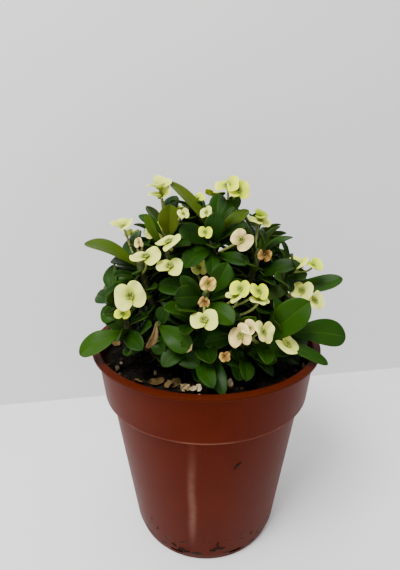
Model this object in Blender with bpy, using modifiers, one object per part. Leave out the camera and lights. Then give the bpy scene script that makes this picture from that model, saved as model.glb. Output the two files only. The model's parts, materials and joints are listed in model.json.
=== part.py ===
"""A potted euphorbia: a young crown of thorns in a 12 cm moulded nursery pot.

The pot stands on the origin, +Z up, and the plant's fuller side faces -Y. Thorny stems
are rooted in the soil and fan out to a low dome. Every leaf grows on its stem, and every
flower head is a pair of bracts round a small cup, on a stalk of its own.
"""

import math

import bmesh
import bpy
from mathutils import Matrix, Vector

MM = 0.001

# Pot: radii step inwards from the rim, heights run down from it.
RIM_RADIUS = 0.0600
POT_HEIGHT = 0.1105
LIP_OVERHANG = 0.0028
LIP_THICKNESS = 0.0015
LIP_ROUND = 0.0004
BAND_HEIGHT = 0.0260
BAND_TAPER = 0.0024
STEP_HEIGHT = 0.0015
STEP_WIDTH = 0.0033
BODY_TAPER = 0.0105
CORNER_HEIGHT = 0.0050
CORNER_WIDTH = 0.0016
WALL = 0.0010
FLOOR = 0.0012
FOOT_HEIGHT = 0.0012
FOOT_WIDTH = 0.0030
FOOT_DRAFT = 0.0006
PAD_RADIUS = 0.0100
TURN_STEPS = 48

# Drain slots, through the wall just above the floor.
SLOT_COUNT = 8
SLOT_LENGTH = 0.0070
SLOT_HEIGHT = 0.0022
SLOT_ABOVE_FLOOR = 0.0003

# Soil.
SOIL_DROP = 0.0100
SOIL_MOUND = 0.0015
FIT_GAP = 0.0003

# Stems.
STEM_RADIUS = 0.0028
STEM_TIP_SHARE = 0.62
ROOT_DEPTH = 0.0240
STEM_POINTS = 9

# Leaves.
LEAF_THICKNESS = 0.0008
LEAF_BASE_HALF_WIDTH = 0.0006
LEAF_GAP = 0.0009
LEAF_STATIONS = 6
LEAF_ARCH = 0.10
LEAF_FOLD = 0.22
RIM_CLEARANCE = 0.0060

# Flower heads.
BRACT_THICKNESS = 0.0007
BRACT_DISH = 0.22
BRACT_NOTCH = 0.24
BRACT_SIDES = 12
CUP_RADIUS = 0.0014
CUP_HEIGHT = 0.0022
STALK_RADIUS = 0.0007
STALK_GAP = 0.0006
STALK_POINTS = 5

BAND_TOP_RADIUS = RIM_RADIUS - LIP_OVERHANG
BAND_BOTTOM_RADIUS = BAND_TOP_RADIUS - BAND_TAPER
BODY_TOP_RADIUS = BAND_BOTTOM_RADIUS - STEP_WIDTH
BODY_BOTTOM_RADIUS = BODY_TOP_RADIUS - BODY_TAPER
FOOT_RADIUS = BODY_BOTTOM_RADIUS - CORNER_WIDTH
MOUTH_RADIUS = BAND_TOP_RADIUS - WALL
BAND_BOTTOM = POT_HEIGHT - BAND_HEIGHT
BODY_TOP = BAND_BOTTOM - STEP_HEIGHT
FLOOR_TOP = FOOT_HEIGHT + FLOOR
SOIL_TOP = POT_HEIGHT - SOIL_DROP
FRONT_REACH = -(MOUTH_RADIUS - RIM_CLEARANCE) / MM

# Each stem's route in millimetres, from the soil's surface up. It starts ROOT_DEPTH below.
STEMS = {
    "centre": [(4, 2, 0), (1, 0, 24), (2, -6, 50), (4, -8, 70)],
    "left_top": [(-8, 5, 0), (-13, 1, 24), (-18, -5, 50), (-20, -7, 70)],
    "left": [(-15, -3, 0), (-23, -8, 22), (-30, -11, 42), (-33, -9, 56)],
    "left_low": [(-17, -12, 0), (-29, -18, 12), (-38, -21, 24), (-42, -19, 37)],
    "front": [(-1, -14, 0), (-4, -21, 14), (-3, -26, 30), (0, -26, 45)],
    "right_top": [(10, 6, 0), (15, 0, 22), (22, -7, 43), (26, -6, 60)],
    "right": [(18, -3, 0), (27, -6, 18), (36, -8, 34), (41, -6, 50)],
    "right_low": [(13, -14, 0), (22, -18, 10), (31, -21, 18), (40, -21, 25)],
    "back_left": [(-6, 16, 0), (-13, 23, 22), (-20, 28, 42), (-21, 26, 58)],
    "back_right": [(9, 18, 0), (17, 24, 20), (24, 29, 38), (24, 27, 54)],
}

# Leaves on each stem: place along the stem, tip in millimetres above the soil's surface,
# width in millimetres, and the way the upper side faces.
LEAVES = {
    "centre": [
        (0.97, (-18, -4, 92), 9, (0.5, -0.6, 0.6)),
        (0.97, (6, 1, 86), 10, (0, -1, 0.3)),
        (0.88, (4, -17, 79), 11, (0, -1, 0.2)),
        (0.93, (20, -6, 79), 8, (-0.4, -1, 0.5)),
        (0.85, (-13, -11, 71), 11, (0.2, -1, 0.4)),
        (0.80, (-10, -27, 57), 12, (-0.3, -1, 0.7)),
    ],
    "left_top": [
        (0.94, (-33, -3, 76), 8, (0.3, -0.6, 1)),
        (0.92, (-17, -12, 82), 12, (0, -1, 0.2)),
    ],
    "left": [
        (0.90, (-59, -8, 64), 13, (0.3, -0.5, 1)),
        (0.85, (-48, -2, 54), 9, (0.1, -0.7, 1)),
        (0.72, (-45, -14, 46), 9, (0, -0.5, 1)),
    ],
    "left_low": [
        (0.66, (-60, -30, 15), 14, (-0.1, -0.8, 0.8)),
        (0.82, (-51, -20, 31), 10, (-0.4, -1, 0.5)),
    ],
    "front": [
        (0.98, (9, -28, 58), 11, (0, -1, 0.1)),
        (0.90, (-14, -40, 46), 12, (-0.2, -1, 0.5)),
        (0.60, (1, -38, 19), 15, (-0.3, -1, 0.5)),
        (0.84, (11, -41, 35), 12, (0.2, -1, 0.6)),
        (0.40, (7, FRONT_REACH, 7), 10, (0.1, -0.7, 0.8)),
        (0.50, (-20, -40, 14), 11, (-0.3, -1, 0.8)),
    ],
    "right_top": [
        (0.88, (34, 1, 65), 12, (-0.1, -1, 0.4)),
        (0.97, (43, -1, 66), 7, (-0.3, -0.6, 1)),
        (0.72, (43, -18, 56), 9, (-0.2, -0.8, 1)),
    ],
    "right": [
        (0.90, (69, -4, 44), 12, (-0.4, -0.7, 0.8)),
        (0.66, (31, -14, 44), 14, (0.2, -1, 0.2)),
    ],
    "right_low": [
        (0.62, (46, -30, 41), 17, (-0.4, -1, 0.3)),
        (0.92, (68, -20, 19), 16, (-0.1, -0.7, 0.8)),
        (0.70, (56, -34, 12), 8, (0.3, -0.8, 0.8)),
    ],
    "back_left": [
        (0.80, (-48, 36, 50), 14, (-0.2, 0.6, 1)),
        (0.72, (-14, 54, 36), 15, (0, 1, 0.8)),
        (0.95, (-32, 24, 78), 12, (0.3, 0.8, 0.6)),
    ],
    "back_right": [
        (0.80, (52, 36, 46), 14, (0.2, 0.6, 1)),
        (0.70, (22, 56, 32), 15, (0, 1, 0.8)),
        (0.95, (30, 28, 74), 12, (-0.3, 0.8, 0.6)),
    ],
}

# Flower heads on each stem: place of the stalk along the stem, centre of the head in
# millimetres above the soil's surface, breadth in millimetres, and the way it faces.
FLOWERS = {
    "centre": [
        (0.99, (13, -4, 87), 15, (0.2, -0.5, 0.8)),
        (0.78, (15, -21, 67), 11, (0, -1, 0.4)),
    ],
    "left_top": [
        (0.99, (-22, -6, 86), 11, (-0.1, -0.2, 1)),
        (0.70, (-17, -26, 56), 12, (0, -0.8, 0.6)),
    ],
    "left": [
        (0.98, (-41, -4, 69), 10, (-0.3, -0.1, 1)),
        (0.80, (-30, -23, 58), 13, (-0.3, -0.6, 0.8)),
    ],
    "left_low": [
        (0.88, (-35, -30, 43), 16, (-0.1, -1, 0.3)),
    ],
    "front": [
        (0.97, (0, -33, 50), 8, (0, -1, 0.2)),
        (0.86, (-3, -43, 36), 12, (0, -0.6, 0.9)),
        (0.74, (18, -34, 45), 15, (-0.1, -0.8, 0.6)),
    ],
    "right_top": [
        (0.98, (27, -2, 74), 10, (0.3, -0.2, 1)),
    ],
    "right": [
        (0.96, (49, -8, 57), 12, (0.4, -0.2, 1)),
        (0.74, (53, -12, 33), 12, (0.6, -0.4, 0.6)),
    ],
    "right_low": [
        (0.55, (20, -40, 29), 15, (0, -0.8, 0.7)),
    ],
    "back_left": [
        (0.98, (-14, 30, 74), 13, (0, 0.5, 1)),
    ],
}


def new_collection(name):
    """Add a collection to the scene and return it."""
    collection = bpy.data.collections.new(name)
    bpy.context.scene.collection.children.link(collection)
    return collection


def new_material(name, colour, roughness, metallic=0.0):
    """A plain Principled finish."""
    material = bpy.data.materials.new(name)
    material.use_nodes = True
    shader = material.node_tree.nodes["Principled BSDF"]
    shader.inputs["Base Color"].default_value = (*colour, 1.0)
    shader.inputs["Roughness"].default_value = roughness
    shader.inputs["Metallic"].default_value = metallic
    return material


def new_object(name, data, collection, material=None):
    """Put a mesh or a curve in a collection, with its material."""
    thing = bpy.data.objects.new(name, data)
    collection.objects.link(thing)
    if material:
        data.materials.append(material)
    return thing


def hide_guide(thing):
    """Mark a cutter or a joined shape, which is not a piece of its own."""
    thing.hide_render = True
    thing.display_type = "WIRE"


def turned(name, outline, collection, material):
    """Turn an outline of (radius, height) points about Z."""
    mesh = bpy.data.meshes.new(name)
    points = [(radius, 0.0, height) for radius, height in outline]
    edges = [(i, i + 1) for i in range(len(points) - 1)]
    mesh.from_pydata(points, edges, [])
    thing = new_object(name, mesh, collection, material)
    screw = thing.modifiers.new("turn", "SCREW")
    screw.axis = "Z"
    screw.angle = 2 * math.pi
    screw.steps = TURN_STEPS
    screw.render_steps = TURN_STEPS
    screw.use_merge_vertices = True
    screw.merge_threshold = 0.00001
    return thing


def boolean(thing, other, operation):
    """Cut another mesh out of a piece, or join it on."""
    modifier = thing.modifiers.new(operation.lower(), "BOOLEAN")
    modifier.operation = operation
    modifier.solver = "EXACT"
    modifier.object = other
    hide_guide(other)


def tube(name, points, radii, collection, material=None):
    """A round tube with closed ends along points, one radius at each."""
    curve = bpy.data.curves.new(name, "CURVE")
    curve.dimensions = "3D"
    curve.bevel_depth = 1.0
    curve.bevel_resolution = 2
    curve.use_fill_caps = True
    spline = curve.splines.new("POLY")
    spline.points.add(len(points) - 1)
    for spot, point, radius in zip(spline.points, points, radii):
        spot.co = (*point, 1.0)
        spot.radius = radius
    return new_object(name, curve, collection, material)


def tube_as_mesh(name, points, radii, collection):
    """The same tube as a closed mesh, for cutting and joining."""
    guide = tube(name + "_curve", points, radii, collection)
    seen = guide.evaluated_get(bpy.context.evaluated_depsgraph_get())
    mesh = bpy.data.meshes.new_from_object(seen)
    bpy.data.objects.remove(guide)
    shape = bmesh.new()
    shape.from_mesh(mesh)
    bmesh.ops.remove_doubles(shape, verts=shape.verts, dist=0.00001)
    shape.to_mesh(mesh)
    shape.free()
    return new_object(name, mesh, collection)


def smooth_route(corners, share):
    """The point at a share of a smooth curve through the corners."""
    place = share * (len(corners) - 1)
    i = min(int(place), len(corners) - 2)
    t = place - i
    before = corners[max(i - 1, 0)]
    start = corners[i]
    end = corners[i + 1]
    after = corners[min(i + 2, len(corners) - 1)]
    return 0.5 * (
        2 * start
        + (end - before) * t
        + (2 * before - 5 * start + 4 * end - after) * t**2
        + (3 * start - before - 3 * end + after) * t**3
    )


def above_soil(point):
    """Millimetres above the soil's surface, as a place in metres."""
    return Vector(point) * MM + Vector((0, 0, SOIL_TOP))


def stem_corners(stem):
    """A stem's route, from its root's end up."""
    corners = [above_soil(point) for point in STEMS[stem]]
    return [corners[0] - Vector((0, 0, ROOT_DEPTH))] + corners


def stem_share(share):
    """A share of a stem above the soil, as a share of its route with the root."""
    spans = len(STEMS["centre"])
    return (1 + share * (spans - 1)) / spans


def stem_radius(share):
    """A stem's radius at a share of its route, thinner towards the tip."""
    return STEM_RADIUS * (1 + (STEM_TIP_SHARE - 1) * share)


def stem_surface(stem, share, towards, gap):
    """A point just off a stem's side, on the side that looks towards another point."""
    corners = stem_corners(stem)
    along = stem_share(share)
    centre = smooth_route(corners, along)
    axis = (smooth_route(corners, along + 0.01) - smooth_route(corners, along - 0.01)).normalized()
    reach = towards - centre
    side = (reach - axis * reach.dot(axis)).normalized()
    return centre + side * (stem_radius(along) + gap)


def build_pot(collection, cutters, material):
    """One moulded shell: lip, band, step, tapered body, foot ring and drain slots."""
    outline = [
        (0.0, FLOOR_TOP),
        (FOOT_RADIUS - WALL, FLOOR_TOP),
        (BODY_BOTTOM_RADIUS - WALL, CORNER_HEIGHT),
        (BODY_TOP_RADIUS - WALL, BODY_TOP + WALL),
        (BAND_BOTTOM_RADIUS - WALL, BAND_BOTTOM + WALL),
        (MOUTH_RADIUS, POT_HEIGHT - LIP_ROUND),
        (MOUTH_RADIUS + LIP_ROUND, POT_HEIGHT),
        (RIM_RADIUS - LIP_ROUND, POT_HEIGHT),
        (RIM_RADIUS, POT_HEIGHT - LIP_ROUND),
        (RIM_RADIUS, POT_HEIGHT - LIP_THICKNESS),
        (BAND_TOP_RADIUS, POT_HEIGHT - LIP_THICKNESS - LIP_ROUND),
        (BAND_BOTTOM_RADIUS, BAND_BOTTOM),
        (BODY_TOP_RADIUS, BODY_TOP),
        (BODY_BOTTOM_RADIUS, CORNER_HEIGHT),
        (FOOT_RADIUS, 0.0),
        (FOOT_RADIUS - FOOT_WIDTH, 0.0),
        (FOOT_RADIUS - FOOT_WIDTH - FOOT_DRAFT, FOOT_HEIGHT),
        (PAD_RADIUS + FOOT_DRAFT, FOOT_HEIGHT),
        (PAD_RADIUS, 0.0),
        (0.0, 0.0),
    ]
    pot = turned("pot", outline, collection, material)
    slots = bmesh.new()
    middle = FLOOR_TOP + SLOT_ABOVE_FLOOR + SLOT_HEIGHT / 2
    for i in range(SLOT_COUNT):
        turn = Matrix.Rotation((i + 0.5) * 2 * math.pi / SLOT_COUNT, 4, "Z")
        place = Matrix.Translation((FOOT_RADIUS, 0, middle))
        size = Matrix.Diagonal((4 * CORNER_HEIGHT, SLOT_LENGTH, SLOT_HEIGHT, 1))
        bmesh.ops.create_cube(slots, size=1.0, matrix=turn @ place @ size)
    mesh = bpy.data.meshes.new("slots")
    slots.to_mesh(mesh)
    slots.free()
    boolean(pot, new_object("slots", mesh, cutters), "DIFFERENCE")
    return pot


def build_soil(collection, cutters, material):
    """The root ball, a hair smaller than the pot's inside, with a socket for each stem."""
    inset = WALL + FIT_GAP
    edge_radius = BAND_BOTTOM_RADIUS - inset
    edge_radius += BAND_TAPER * (SOIL_TOP - BAND_BOTTOM) / (POT_HEIGHT - BAND_BOTTOM)
    outline = [
        (0.0, SOIL_TOP + SOIL_MOUND),
        (0.5 * edge_radius, SOIL_TOP + 0.75 * SOIL_MOUND),
        (edge_radius, SOIL_TOP),
        (BAND_BOTTOM_RADIUS - inset, BAND_BOTTOM + WALL + FIT_GAP),
        (BODY_TOP_RADIUS - inset, BODY_TOP + WALL + FIT_GAP),
        (BODY_BOTTOM_RADIUS - inset, CORNER_HEIGHT),
        (FOOT_RADIUS - inset, FLOOR_TOP + FIT_GAP),
        (0.0, FLOOR_TOP + FIT_GAP),
    ]
    soil = turned("soil", outline, collection, material)
    for stem in STEMS:
        points, radii = stem_route(stem)
        points[0] -= Vector((0, 0, FIT_GAP))
        wider = [radius + FIT_GAP for radius in radii]
        boolean(soil, tube_as_mesh("socket_" + stem, points, wider, cutters), "DIFFERENCE")
    return soil


def stem_route(stem):
    """Points and radii along a stem."""
    corners = stem_corners(stem)
    shares = [i / (STEM_POINTS - 1) for i in range(STEM_POINTS)]
    points = [smooth_route(corners, share) for share in shares]
    return points, [stem_radius(share) for share in shares]


def build_stem(stem, collection, material):
    """A tapered woody stem, from its root up."""
    points, radii = stem_route(stem)
    return tube("stem_" + stem, points, radii, collection, material)


def leaf_half_width(share):
    """A leaf's half width over its widest: narrow at the stem, broad near a round tip."""
    return max(0.0, math.sin(math.pi * share**1.5)) ** 0.8


def build_leaf(name, stem, share, tip, width, face, collection, material):
    """A spoon-shaped leaf, arched along and folded a little along its midrib."""
    end = above_soil(tip)
    start = stem_surface(stem, share, end, LEAF_GAP)
    length = (end - start).length
    along = (end - start).normalized()
    across = along.cross(Vector(face)).normalized()
    upper = across.cross(along)
    bpy.ops.mesh.primitive_grid_add(x_subdivisions=LEAF_STATIONS, y_subdivisions=2, size=1.0)
    leaf = bpy.context.object
    leaf.name = name
    for vertex in leaf.data.vertices:
        run = vertex.co.x + 0.5
        side = 2 * vertex.co.y
        half = max(LEAF_BASE_HALF_WIDTH, 0.5 * width * MM * leaf_half_width(run))
        arch = LEAF_ARCH * length * 4 * run * (1 - run)
        fold = LEAF_FOLD * half * abs(side)
        vertex.co = start + along * run * length + across * side * half + upper * (arch + fold)
    for home in leaf.users_collection:
        home.objects.unlink(leaf)
    collection.objects.link(leaf)
    leaf.data.materials.append(material)
    solid = leaf.modifiers.new("thickness", "SOLIDIFY")
    solid.thickness = LEAF_THICKNESS
    solid.offset = 0.0
    return leaf


def build_flower(name, stem, share, centre, breadth, face, collection, cutters, material):
    """Two kidney-shaped bracts in a shallow dish round a cup, on a bent stalk."""
    radius = 0.5 * breadth * MM
    middle = above_soil(centre)
    front = Vector(face).normalized()
    outline = [
        (0.0, CUP_HEIGHT),
        (0.8 * CUP_RADIUS, CUP_HEIGHT),
        (CUP_RADIUS, BRACT_THICKNESS),
        (0.6 * radius, BRACT_THICKNESS + 0.36 * BRACT_DISH * radius),
        (radius, BRACT_THICKNESS + BRACT_DISH * radius),
        (radius, BRACT_DISH * radius),
        (0.6 * radius, 0.36 * BRACT_DISH * radius),
        (CUP_RADIUS, 0.0),
        (STALK_RADIUS, -CUP_RADIUS),
        (0.0, -CUP_RADIUS),
    ]
    shape = bmesh.new()
    spots = [shape.verts.new((reach, 0.0, height)) for reach, height in outline]
    rims = [shape.edges.new(pair) for pair in zip(spots, spots[1:])]
    bmesh.ops.spin(
        shape,
        geom=spots + rims,
        axis=(0, 0, 1),
        cent=(0, 0, 0),
        angle=2 * math.pi,
        steps=BRACT_SIDES,
    )
    bmesh.ops.remove_doubles(shape, verts=shape.verts, dist=0.00001)
    for vertex in shape.verts:
        reach = vertex.co.xy.length
        if reach > 0.5 * radius:
            notch = abs(vertex.co.x / reach) ** 6
            vertex.co.xy *= 1 - BRACT_NOTCH * notch * reach / radius
    bmesh.ops.recalc_face_normals(shape, faces=shape.faces)
    mesh = bpy.data.meshes.new(name)
    shape.to_mesh(mesh)
    shape.free()
    head = new_object(name, mesh, collection, material)
    head.matrix_world = Matrix.Translation(middle) @ front.to_track_quat("Z", "Y").to_matrix().to_4x4()

    neck = middle - front * 0.5 * CUP_RADIUS
    start = stem_surface(stem, share, middle, STALK_GAP)
    bend = middle - front * 0.45 * (middle - start).length
    shares = [i / (STALK_POINTS - 1) for i in range(STALK_POINTS)]
    points = [start * (1 - t) ** 2 + bend * 2 * t * (1 - t) + neck * t**2 for t in shares]
    stalk = tube_as_mesh(name + "_stalk", points, [STALK_RADIUS] * STALK_POINTS, cutters)
    boolean(head, stalk, "UNION")
    return head


for old in list(bpy.data.objects):
    bpy.data.objects.remove(old)

plant = new_collection("potted_euphorbia")
guides = new_collection("cutters")
pot_finish = new_material("pot_plastic", (0.16, 0.034, 0.012), 0.38)
soil_finish = new_material("soil", (0.012, 0.009, 0.006), 0.95)
bark_finish = new_material("bark", (0.10, 0.065, 0.04), 0.85)
leaf_finish = new_material("leaf", (0.02, 0.09, 0.006), 0.42)
bract_finish = new_material("bract", (0.80, 0.80, 0.45), 0.55)

build_pot(plant, guides, pot_finish)
build_soil(plant, guides, soil_finish)
for stem_name in STEMS:
    build_stem(stem_name, plant, bark_finish)
for stem_name, rows in LEAVES.items():
    for number, row in enumerate(rows, start=1):
        build_leaf(f"leaf_{stem_name}_{number}", stem_name, *row, plant, leaf_finish)
for stem_name, rows in FLOWERS.items():
    for number, row in enumerate(rows, start=1):
        flower = f"flower_{stem_name}_{number}"
        build_flower(flower, stem_name, *row, plant, guides, bract_finish)
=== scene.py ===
import json
import math
import random

import bmesh
import bpy
import numpy as np
from mathutils import Matrix, Vector

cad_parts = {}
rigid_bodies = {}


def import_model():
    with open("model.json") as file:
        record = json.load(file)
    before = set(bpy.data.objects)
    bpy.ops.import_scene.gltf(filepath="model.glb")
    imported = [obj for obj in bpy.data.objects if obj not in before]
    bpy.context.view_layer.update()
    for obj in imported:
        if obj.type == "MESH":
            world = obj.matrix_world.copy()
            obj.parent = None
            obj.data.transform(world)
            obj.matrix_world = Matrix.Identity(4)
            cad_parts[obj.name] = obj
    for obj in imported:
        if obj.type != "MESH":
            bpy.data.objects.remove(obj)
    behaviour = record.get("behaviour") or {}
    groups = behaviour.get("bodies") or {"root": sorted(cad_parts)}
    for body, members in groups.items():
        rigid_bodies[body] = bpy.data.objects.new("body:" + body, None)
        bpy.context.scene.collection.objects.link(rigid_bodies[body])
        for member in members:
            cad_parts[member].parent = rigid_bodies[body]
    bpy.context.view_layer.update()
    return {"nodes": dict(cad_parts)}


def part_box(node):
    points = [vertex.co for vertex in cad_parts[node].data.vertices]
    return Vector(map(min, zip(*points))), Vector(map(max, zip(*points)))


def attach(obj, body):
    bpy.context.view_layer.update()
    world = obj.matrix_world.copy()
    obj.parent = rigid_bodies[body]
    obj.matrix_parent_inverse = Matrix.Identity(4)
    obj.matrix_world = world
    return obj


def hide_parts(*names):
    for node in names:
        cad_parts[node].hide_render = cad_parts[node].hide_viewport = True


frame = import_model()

MM = 0.001


# ---- Pot ------------------------------------------------------------------------
# A 12 cm nursery pot, injection moulded in one piece from brown polypropylene. It has a
# thin turned-out lip, a stacking band with a step under it, a tapered body and a low
# foot ring, and its drain slots are cut by the mould where the wall meets the floor.
POT_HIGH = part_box("pot")[1]
RIM_RADIUS = POT_HIGH.x
RIM_TOP = POT_HIGH.z
POT_SIDES = 144
POT_STATIONS = [
    (10.0 * MM, 0.0),
    (10.6 * MM, 1.2 * MM),
    (RIM_RADIUS - 24.2 * MM, 1.2 * MM),
    (RIM_RADIUS - 23.6 * MM, 0.0),
    (RIM_RADIUS - 20.6 * MM, 0.0),
    (RIM_RADIUS - 19.0 * MM, 5.0 * MM),
    (RIM_RADIUS - 8.5 * MM, RIM_TOP - 27.5 * MM),
    (RIM_RADIUS - 5.2 * MM, RIM_TOP - 26.0 * MM),
    (RIM_RADIUS - 2.8 * MM, RIM_TOP - 1.9 * MM),
    (RIM_RADIUS, RIM_TOP - 1.5 * MM),
    (RIM_RADIUS, RIM_TOP),
    (RIM_RADIUS - 3.8 * MM, RIM_TOP),
    (RIM_RADIUS - 6.2 * MM, RIM_TOP - 25.0 * MM),
    (RIM_RADIUS - 9.5 * MM, RIM_TOP - 26.5 * MM),
    (RIM_RADIUS - 20.0 * MM, 5.0 * MM),
    (RIM_RADIUS - 21.6 * MM, 2.4 * MM),
    (20.0 * MM, 2.4 * MM),
]
LIP_ROUNDING = 0.35 * MM
SLOT_COUNT = 8
SLOT_SIZE = (20 * MM, 7 * MM, 2.2 * MM)
SLOT_HEIGHT = 3.8 * MM
SLOT_REACH = RIM_RADIUS - 20.6 * MM
FRONT_SIDE = (-30 * MM, -20 * MM)
# Where a painted highlight runs as a pale streak down the front of the pot.
STREAK_LEFT = 8.0 * MM
STREAK_SWAY = 2.2 * MM
STREAK_EDGE = (0.1 * MM, 2.8 * MM)
STREAK_FOOT = (8 * MM, 30 * MM)
STREAK_HEAD = (42 * MM, 92 * MM)
SPLASH_HEIGHT = (4 * MM, 22 * MM)
# Heights where the lip's painted shade starts and ends.
LIP_SHADE = (RIM_TOP - 4.0 * MM, RIM_TOP - 1.0 * MM)
# Heights of the painted highlight along the bottom edge of the band's step.
STEP_FOOT = (RIM_TOP - 26.8 * MM, RIM_TOP - 26.2 * MM)
STEP_HEAD = (RIM_TOP - 25.6 * MM, RIM_TOP - 24.8 * MM)


class Value:
    """A socket of a material's nodes. Sums of values add their Math nodes."""

    def __init__(self, tree, socket):
        self.tree = tree
        self.socket = socket

    def node(self, kind, settings, sockets, out=0):
        made = self.tree.nodes.new("ShaderNode" + kind)
        stops = settings.pop("stops", None)
        for key, setting in settings.items():
            setattr(made, key, setting)
        if stops:
            ramp = made.color_ramp.elements
            while len(ramp) < len(stops):
                ramp.new(1.0)
            for element, (place, colour) in zip(ramp, stops):
                element.position = place
                element.color = colour if len(colour) == 4 else (*colour, 1.0)
        for key, value in sockets.items():
            if isinstance(value, Value):
                self.tree.links.new(value.socket, made.inputs[key])
            else:
                made.inputs[key].default_value = value
        return Value(self.tree, made.outputs[out])

    def math(self, operation, first, second):
        return self.node("Math", {"operation": operation}, {0: first, 1: second})

    def __add__(self, other):
        return self.math("ADD", self, other)

    def __radd__(self, other):
        return self.math("ADD", other, self)

    def __sub__(self, other):
        return self.math("SUBTRACT", self, other)

    def __rsub__(self, other):
        return self.math("SUBTRACT", other, self)

    def __mul__(self, other):
        return self.math("MULTIPLY", self, other)

    def __rmul__(self, other):
        return self.math("MULTIPLY", other, self)

    def __pow__(self, other):
        return self.math("POWER", self, other)

    def noise(self, scale, detail=4.0, roughness=0.55):
        """Cloudy noise from 0 to 1, with features about 1 / scale metres across."""
        sockets = {"Vector": self, "Scale": scale, "Detail": detail, "Roughness": roughness}
        return self.node("TexNoise", {}, sockets)

    def stretched(self, scale):
        """The same coordinates, scaled by axis."""
        return self.node("Mapping", {}, {"Vector": self, "Scale": scale})

    def step(self, low, high):
        """0 below low, 1 above high, and smooth between them."""
        settings = {"interpolation_type": "SMOOTHSTEP"}
        return self.node("MapRange", settings, {"Value": self, "From Min": low, "From Max": high})

    def ramp(self, *stops):
        return self.node("ValToRGB", {"stops": stops}, {"Fac": self})

    def mix(self, first, second):
        """A colour from first to second, by this value."""
        sides = [side if isinstance(side, Value) else (*side, 1.0) for side in (first, second)]
        settings = {"data_type": "RGBA"}
        return self.node("Mix", settings, {0: self, 6: sides[0], 7: sides[1]}, out=2)

    def axis(self, index):
        return self.node("SeparateXYZ", {}, {"Vector": self}, out=index)


class Finish:
    """A material with its shader, and the coordinates its pattern can use."""

    def __init__(self, name, **constants):
        self.material = bpy.data.materials.new(name)
        self.material.use_nodes = True
        self.tree = self.material.node_tree
        self.shader = self.tree.nodes["Principled BSDF"]
        for key, value in constants.items():
            socket = key.replace("_", " ").title().replace("Ior", "IOR")
            self.shader.inputs[socket].default_value = value
        spots = self.tree.nodes.new("ShaderNodeTexCoord")
        self.place = Value(self.tree, spots.outputs["Object"])
        self.uv = Value(self.tree, spots.outputs["UV"])

    def attribute(self, name):
        made = self.tree.nodes.new("ShaderNodeAttribute")
        made.attribute_name = name
        return Value(self.tree, made.outputs["Fac"])

    def feed(self, socket, value):
        self.tree.links.new(value.socket, self.shader.inputs[socket])

    def cloud(self, scale, first, second, detail=4.0):
        """A base colour that wanders between two colours."""
        self.feed("Base Color", self.place.noise(scale, detail).mix(first, second))

    def bump(self, height, depth):
        """Raise the surface by a height from 0 to 1, times a depth in metres."""
        sockets = {"Height": height, "Distance": depth, "Strength": 1.0}
        self.feed("Normal", height.node("Bump", {}, sockets))


def put(name, data):
    """A new object in the scene."""
    made = bpy.data.objects.new(name, data)
    bpy.context.scene.collection.objects.link(made)
    return made


def deselect():
    if bpy.context.object and bpy.context.object.mode != "OBJECT":
        bpy.ops.object.mode_set(mode="OBJECT")
    bpy.ops.object.select_all(action="DESELECT")


def choose(piece, *others):
    """Select pieces, the first of them as the active one."""
    deselect()
    for other in (piece, *others):
        other.select_set(True)
    bpy.context.view_layer.objects.active = piece


def start_piece(name):
    """Name the primitive just added and go into edit mode on it."""
    piece = bpy.context.object
    piece.name = name
    piece.data.name = name
    bpy.ops.object.mode_set(mode="EDIT")
    bpy.ops.mesh.select_mode(type="VERT")
    return piece


def pick(test):
    """In edit mode, select the vertices whose place passes a test."""
    bpy.ops.mesh.select_all(action="DESELECT")
    shape = bmesh.from_edit_mesh(bpy.context.edit_object.data)
    for vertex in shape.verts:
        vertex.select_set(bool(test(vertex.co)))
    shape.select_flush(True)
    bmesh.update_edit_mesh(bpy.context.edit_object.data)


def ring_on(before, after):
    """Extrude the selected ring from one (radius, height) to the next."""
    rise = {"value": (0, 0, after[1] - before[1])}
    bpy.ops.mesh.extrude_region_move(TRANSFORM_OT_translate=rise)
    grow = after[0] / before[0]
    bpy.ops.transform.resize(value=(grow, grow, 1))


def apply_modifiers(piece):
    choose(piece)
    for modifier in list(piece.modifiers):
        bpy.ops.object.modifier_apply(modifier=modifier.name)


def finish_edit(piece):
    """Close the mesh up, face it outwards, and put its place in its vertices."""
    bpy.ops.mesh.select_all(action="SELECT")
    bpy.ops.mesh.remove_doubles(threshold=0.000001)
    bpy.ops.mesh.normals_make_consistent(inside=False)
    bpy.ops.object.mode_set(mode="OBJECT")
    choose(piece)
    bpy.ops.object.transform_apply(location=True, rotation=True, scale=True)


deselect()
bpy.ops.mesh.primitive_circle_add(vertices=POT_SIDES, radius=POT_STATIONS[0][0], fill_type="NGON")
pot = start_piece("nursery_pot")
for before, after in zip(POT_STATIONS, POT_STATIONS[1:]):
    ring_on(before, after)
bpy.ops.mesh.edge_face_add()
finish_edit(pot)
rounding = pot.modifiers.new("rounding", "BEVEL")
rounding.width = LIP_ROUNDING
rounding.segments = 3
rounding.limit_method = "ANGLE"
rounding.angle_limit = math.radians(25)
apply_modifiers(pot)

deselect()
for i in range(SLOT_COUNT):
    turn = (i + 0.5) * 2 * math.pi / SLOT_COUNT
    spot = (SLOT_REACH * math.cos(turn), SLOT_REACH * math.sin(turn), SLOT_HEIGHT)
    bpy.ops.mesh.primitive_cube_add(size=1, location=spot, rotation=(0, 0, turn), scale=SLOT_SIZE)
    bpy.context.object.name = f"slot_{i}"
slots = [bpy.data.objects[f"slot_{i}"] for i in range(SLOT_COUNT)]
for slot in slots:
    slot.select_set(True)
bpy.ops.object.join()
slot_cutter = bpy.context.object
cut = pot.modifiers.new("slots", "BOOLEAN")
cut.operation = "DIFFERENCE"
cut.object = slot_cutter
apply_modifiers(pot)
bpy.data.objects.remove(slot_cutter)
choose(pot)
bpy.ops.object.shade_smooth_by_angle(angle=math.radians(32))

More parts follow.
